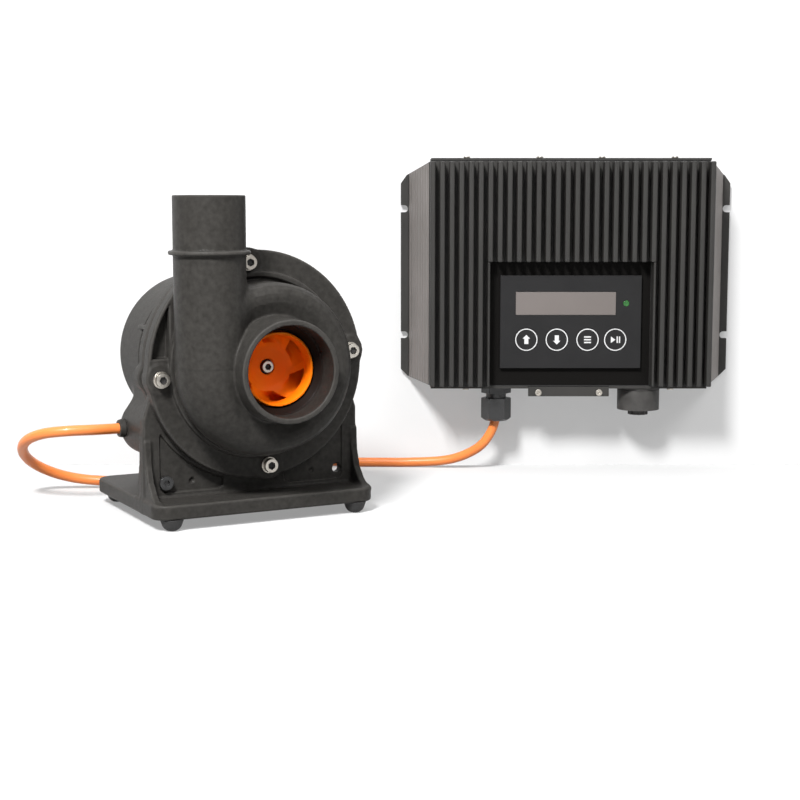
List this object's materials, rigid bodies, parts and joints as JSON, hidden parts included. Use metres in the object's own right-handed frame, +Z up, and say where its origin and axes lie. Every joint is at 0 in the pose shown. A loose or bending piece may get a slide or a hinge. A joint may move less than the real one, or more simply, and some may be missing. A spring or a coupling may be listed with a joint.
{
  "type": "wave maker pump",
  "caption": "Footed centrifugal water pump with a snail casing and upright outlet, wired by a lead to a finned wall controller with a keypad and display.",
  "frame": {"origin": "on the floor under the middle of the set, pump and controller together", "axes": "+Z up, +Y towards the wall that the controller hangs on, +X to the right seen from the front"},
  "size_m": [0.5763, 0.3034, 0.2654],
  "materials": {
    "charcoal_plastic": "satin moulded, fine grain",
    "orange_plastic": "gloss",
    "stainless": "bright turned",
    "magnet": "matt sintered",
    "bearing_ceramic": "polished",
    "can_plastic": "matt",
    "stator_steel": "laminated",
    "copper": "enamelled wire",
    "resin": "cast",
    "rubber": "matt",
    "anodised": "dark anodised",
    "keypad_film": "fine textured film",
    "key_film": "fine textured film",
    "display_lens": "clear over grey",
    "display_body": "matt",
    "lamp_green": "clear tinted",
    "board": "solder resist",
    "capacitor_can": "sleeved",
    "black_nylon": "moulded",
    "contact_brass": "plated",
    "lead_sheath": "smooth sheath"
  },
  "bodies": {
    "set": {"volute_casing": "charcoal_plastic", "motor_housing": "charcoal_plastic", "stand_bracket": "charcoal_plastic", "casing_screws": "stainless", "stand_screw": "stainless", "foot_screws": "stainless", "plate_screws": "stainless", "service_screws": "stainless", "front_bearing": "bearing_ceramic", "rear_bearing": "bearing_ceramic", "rotor_can": "can_plastic", "stator_core": "stator_steel", "stator_windings": "copper", "inductor": "copper", "potting_resin": "resin", "casing_seal": "rubber", "lead_bush": "rubber", "rubber_feet": "rubber", "top_gasket": "rubber", "bottom_gasket": "rubber", "gland_seal": "rubber", "service_gasket": "rubber", "heatsink_housing": "anodised", "heatsink_fins": "anodised", "top_plate": "anodised", "bottom_plate": "anodised", "service_cover": "anodised", "keypad_panel": "keypad_film", "display_window": "display_lens", "display_module": "display_body", "status_lamp": "lamp_green", "control_board": "board", "power_board": "board", "capacitors": "capacitor_can", "gland_body": "black_nylon", "gland_locknut": "black_nylon", "gland_nut": "black_nylon", "mains_inlet": "black_nylon", "coil_tie": "black_nylon", "inlet_pins": "contact_brass", "lead_pump": "lead_sheath", "lead_coil": "lead_sheath", "lead_controller": "lead_sheath"},
    "rotor": {"impeller": "orange_plastic", "impeller_washer": "stainless", "impeller_screw": "stainless", "shaft": "stainless", "rotor_magnet": "magnet"},
    "up_key": {"key_up": "key_film"},
    "down_key": {"key_down": "key_film"},
    "menu_key": {"key_menu": "key_film"},
    "run_key": {"key_run": "key_film"},
    "cap": {"inlet_cap": "black_nylon"}
  },
  "joints": [
    {"name": "impeller_spin", "type": "hinge", "parent": "set", "child": "rotor", "pos_m": [-0.128, -0.082, 0.112], "axis": [0.4695, -0.8829, 0], "continuous": true},
    {"name": "up_key_press", "type": "slide", "parent": "set", "child": "up_key", "axis": [0, 1, 0], "range_m": [0, 0.0006], "stiffness_N_per_m": 2500},
    {"name": "down_key_press", "type": "slide", "parent": "set", "child": "down_key", "axis": [0, 1, 0], "range_m": [0, 0.0006], "stiffness_N_per_m": 2500},
    {"name": "menu_key_press", "type": "slide", "parent": "set", "child": "menu_key", "axis": [0, 1, 0], "range_m": [0, 0.0006], "stiffness_N_per_m": 2500},
    {"name": "run_key_press", "type": "slide", "parent": "set", "child": "run_key", "axis": [0, 1, 0], "range_m": [0, 0.0006], "stiffness_N_per_m": 2500},
    {"name": "cap_turn", "type": "hinge", "parent": "set", "child": "cap", "pos_m": [0.1763, 0.122, 0.064], "axis": [0, 0, -1], "range_deg": [0, 60]}
  ]
}
